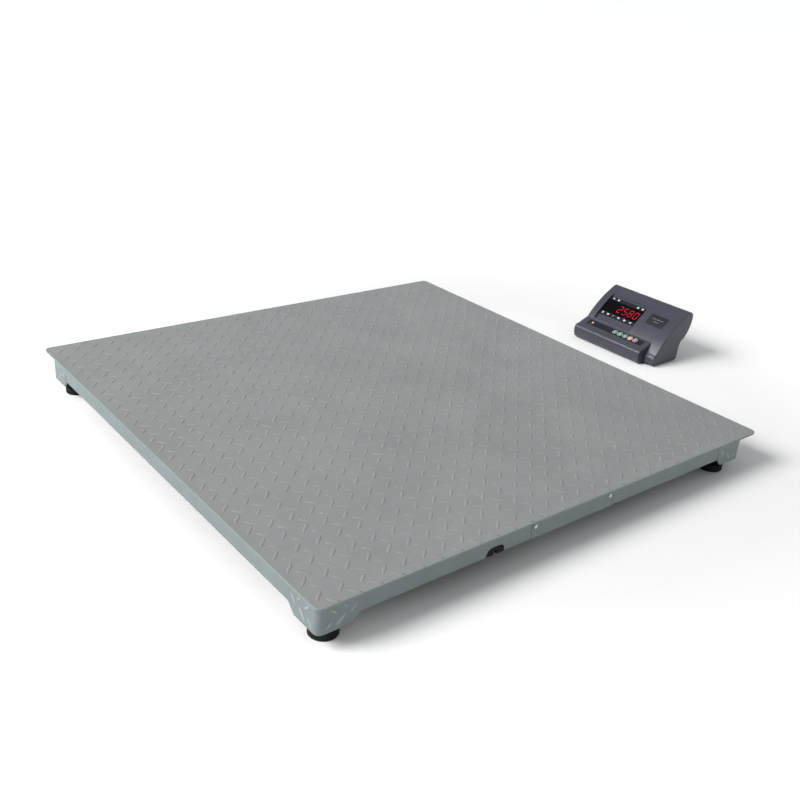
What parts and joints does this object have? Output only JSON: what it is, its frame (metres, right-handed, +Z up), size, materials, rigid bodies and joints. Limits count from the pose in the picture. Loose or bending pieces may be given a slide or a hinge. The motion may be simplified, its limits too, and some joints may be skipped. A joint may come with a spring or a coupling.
{
  "type": "pallet scale",
  "caption": "Low-profile checker-plate floor scale on load cells and levelling ball feet, with a separate desktop weighing indicator that has a lit display and press keys.",
  "frame": {"origin": "on the floor, at the centre of the footprint of platform and indicator together; the platform's own centre is at x = -210 mm", "axes": "+Z up, +X from the platform towards the indicator, -Y the platform's front with the cable outlet and access cover; the indicator's face looks along -X"},
  "size_m": [1.62, 1.2, 0.1434],
  "materials": {
    "deck_paint": "hard-wearing grey enamel on checker plate, satin",
    "frame_paint": "grey enamel on welded steel, satin",
    "nickel_steel": "nickel-plated alloy steel",
    "zinc_steel": "bright zinc plate",
    "black_rubber": "matte black rubber",
    "junction_plastic": "light grey moulded plastic",
    "black_plastic": "black nylon",
    "circuit_board": "green solder mask",
    "housing_plastic": "charcoal moulded ABS, fine spark texture",
    "display_lens": "smoked acrylic, polished",
    "digit_blocks": "black seven-segment blocks",
    "overlay_film": "printed polyester film, semi-gloss",
    "label_film": "dark printed film",
    "green_key": "green key",
    "orange_key": "orange key",
    "red_key": "dark red key",
    "core_steel": "laminated transformer core",
    "connector_steel": "nickel-plated connector shells"
  },
  "bodies": {
    "platform": {"deck_plate": "deck_paint", "front_skirt": "frame_paint", "rear_skirt": "frame_paint", "left_skirt": "frame_paint", "right_skirt": "frame_paint", "deck_rib_1": "frame_paint", "deck_rib_2": "frame_paint", "deck_rib_3": "frame_paint", "deck_rib_4": "frame_paint", "access_cover": "frame_paint", "corner_box_front_left": "frame_paint", "cell_plate_front_left": "frame_paint", "load_cell_front_left": "nickel_steel", "corner_box_front_right": "frame_paint", "cell_plate_front_right": "frame_paint", "load_cell_front_right": "nickel_steel", "corner_box_rear_left": "frame_paint", "cell_plate_rear_left": "frame_paint", "load_cell_rear_left": "nickel_steel", "corner_box_rear_right": "frame_paint", "cell_plate_rear_right": "frame_paint", "load_cell_rear_right": "nickel_steel", "foot_locknuts": "zinc_steel", "load_cell_bolts": "zinc_steel", "access_cover_screws": "zinc_steel", "junction_box_screws": "zinc_steel", "cable_outlet_grommet": "black_rubber", "junction_box_body": "junction_plastic", "junction_box_lid": "junction_plastic", "junction_box_glands": "black_plastic", "summing_board": "circuit_board"},
    "indicator": {"housing_screws": "zinc_steel", "indicator_feet": "black_rubber", "power_inlet": "black_plastic", "battery": "black_plastic", "key_board": "circuit_board", "main_board": "circuit_board", "indicator_upper_housing": "housing_plastic", "indicator_lower_housing": "housing_plastic", "display_window": "display_lens", "display_module": "digit_blocks", "keypad_overlay": "overlay_film", "label_plate": "label_film", "power_transformer": "core_steel", "data_sockets": "connector_steel"},
    "zero_key": {"zero_key": "green_key"},
    "tare_key": {"tare_key": "green_key"},
    "hold_key": {"hold_key": "green_key"},
    "total_key": {"total_key": "orange_key"},
    "power_key": {"power_key": "red_key"},
    "foot_stud_front_left": {"foot_stud_front_left": "zinc_steel"},
    "foot_pad_front_left": {"foot_pad_front_left": "black_rubber"},
    "foot_stud_front_right": {"foot_stud_front_right": "zinc_steel"},
    "foot_pad_front_right": {"foot_pad_front_right": "black_rubber"},
    "foot_stud_rear_left": {"foot_stud_rear_left": "zinc_steel"},
    "foot_pad_rear_left": {"foot_pad_rear_left": "black_rubber"},
    "foot_stud_rear_right": {"foot_stud_rear_right": "zinc_steel"},
    "foot_pad_rear_right": {"foot_pad_rear_right": "black_rubber"}
  },
  "joints": [
    {"name": "indicator_lift", "type": "slide", "parent": "platform", "child": "indicator", "axis": [0, 0, 1], "range_m": [0, 0.5]},
    {"name": "zero_key_press", "type": "slide", "parent": "indicator", "child": "zero_key", "axis": [0.3657, 0, -0.9308], "range_m": [0, 0.0008], "stiffness_N_per_m": 600, "springref_m": -0.0005},
    {"name": "tare_key_press", "type": "slide", "parent": "indicator", "child": "tare_key", "axis": [0.3657, 0, -0.9308], "range_m": [0, 0.0008], "stiffness_N_per_m": 600, "springref_m": -0.0005},
    {"name": "hold_key_press", "type": "slide", "parent": "indicator", "child": "hold_key", "axis": [0.3657, 0, -0.9308], "range_m": [0, 0.0008], "stiffness_N_per_m": 600, "springref_m": -0.0005},
    {"name": "total_key_press", "type": "slide", "parent": "indicator", "child": "total_key", "axis": [0.3657, 0, -0.9308], "range_m": [0, 0.0008], "stiffness_N_per_m": 600, "springref_m": -0.0005},
    {"name": "power_key_press", "type": "slide", "parent": "indicator", "child": "power_key", "axis": [0.3657, 0, -0.9308], "range_m": [0, 0.0008], "stiffness_N_per_m": 600, "springref_m": -0.0005},
    {"name": "level_front_left", "type": "slide", "parent": "platform", "child": "foot_stud_front_left", "axis": [0, 0, 1], "range_m": [-0.008, 0.0008]},
    {"name": "swivel_front_left", "type": "hinge", "parent": "foot_stud_front_left", "child": "foot_pad_front_left", "pos_m": [-0.7685, -0.5585, 0.016], "axis": [1, 0, 0], "range_deg": [-5, 5]},
    {"name": "level_front_right", "type": "slide", "parent": "platform", "child": "foot_stud_front_right", "axis": [0, 0, 1], "range_m": [-0.008, 0.0008]},
    {"name": "swivel_front_right", "type": "hinge", "parent": "foot_stud_front_right", "child": "foot_pad_front_right", "pos_m": [0.296, -0.5585, 0.016], "axis": [1, 0, 0], "range_deg": [-5, 5]},
    {"name": "level_rear_left", "type": "slide", "parent": "platform", "child": "foot_stud_rear_left", "axis": [0, 0, 1], "range_m": [-0.008, 0.0008]},
    {"name": "swivel_rear_left", "type": "hinge", "parent": "foot_stud_rear_left", "child": "foot_pad_rear_left", "pos_m": [-0.7685, 0.506, 0.016], "axis": [1, 0, 0], "range_deg": [-5, 5]},
    {"name": "level_rear_right", "type": "slide", "parent": "platform", "child": "foot_stud_rear_right", "axis": [0, 0, 1], "range_m": [-0.008, 0.0008]},
    {"name": "swivel_rear_right", "type": "hinge", "parent": "foot_stud_rear_right", "child": "foot_pad_rear_right", "pos_m": [0.296, 0.506, 0.016], "axis": [1, 0, 0], "range_deg": [-5, 5]}
  ]
}
